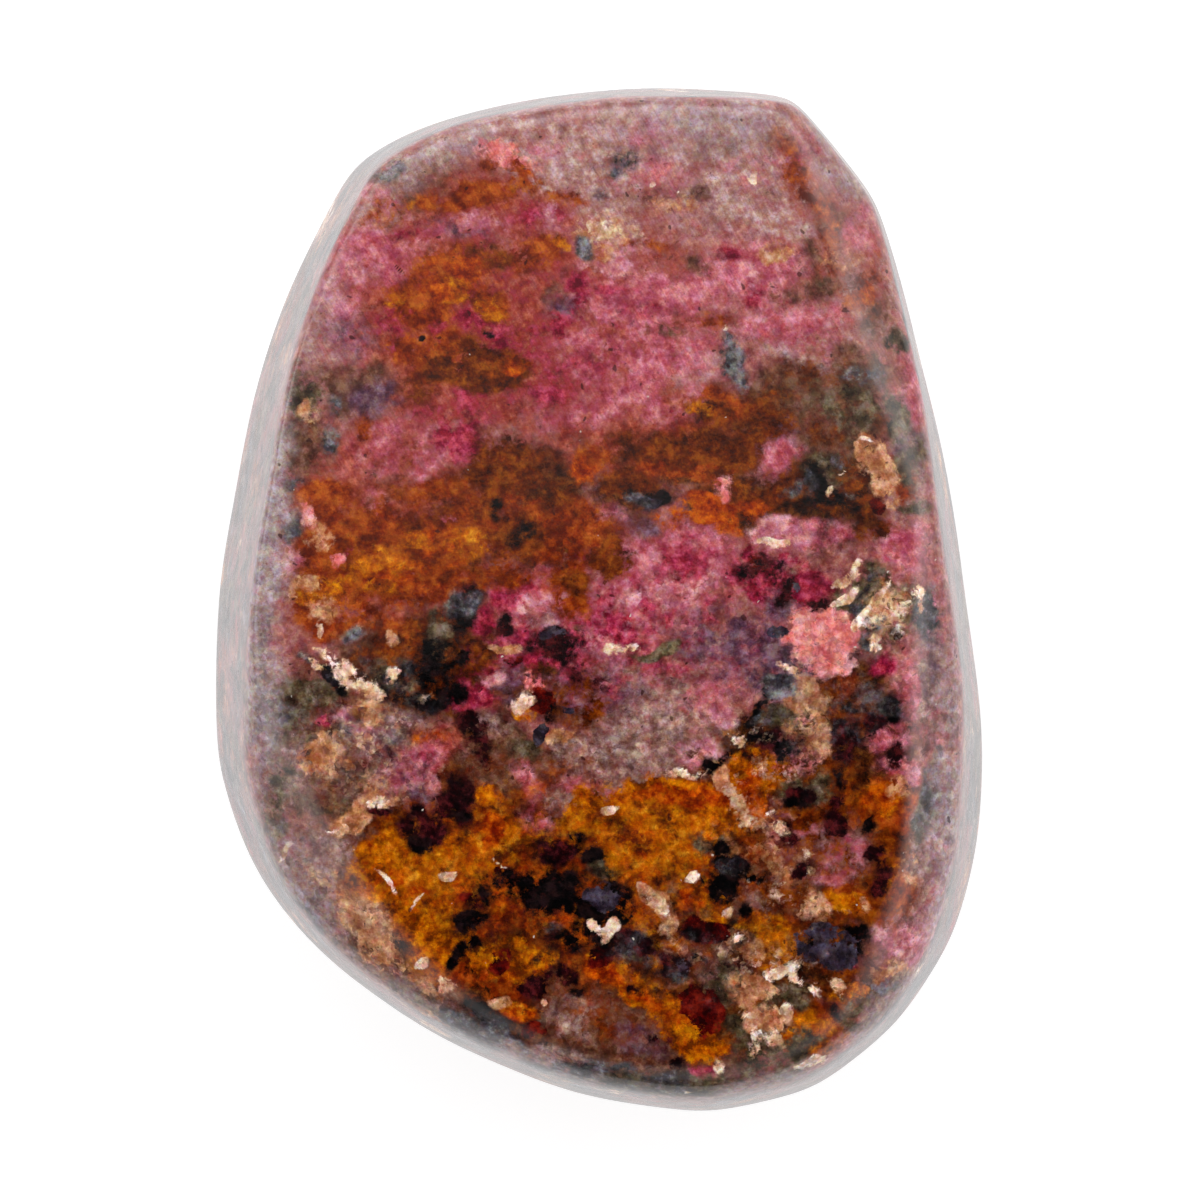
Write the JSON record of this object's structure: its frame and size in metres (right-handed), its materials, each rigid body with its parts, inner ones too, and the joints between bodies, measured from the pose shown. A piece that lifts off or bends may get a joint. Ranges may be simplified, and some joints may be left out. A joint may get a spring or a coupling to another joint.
{
  "type": "polished rhodonite freeform",
  "caption": "Palm-sized polished freeform of mottled rhodonite with a broad gently domed best face, ground facets around its rim and a flat back to rest on.",
  "frame": {"origin": "middle of the bounding box's base, in the plane of the flat back that the stone rests on", "axes": "+Y along the stone towards its narrow end, +X across it, +Z up out of the best face, seen as in the picture with +X to the right and +Y up"},
  "size_m": [0.048, 0.064, 0.026],
  "materials": {
    "polished_rhodonite": "polished natural rhodonite: dusty rose with rust-orange, magenta, amber, cream, grey and black oxide patches"
  },
  "bodies": {
    "root": {"stone": "polished_rhodonite"}
  },
  "joints": []
}
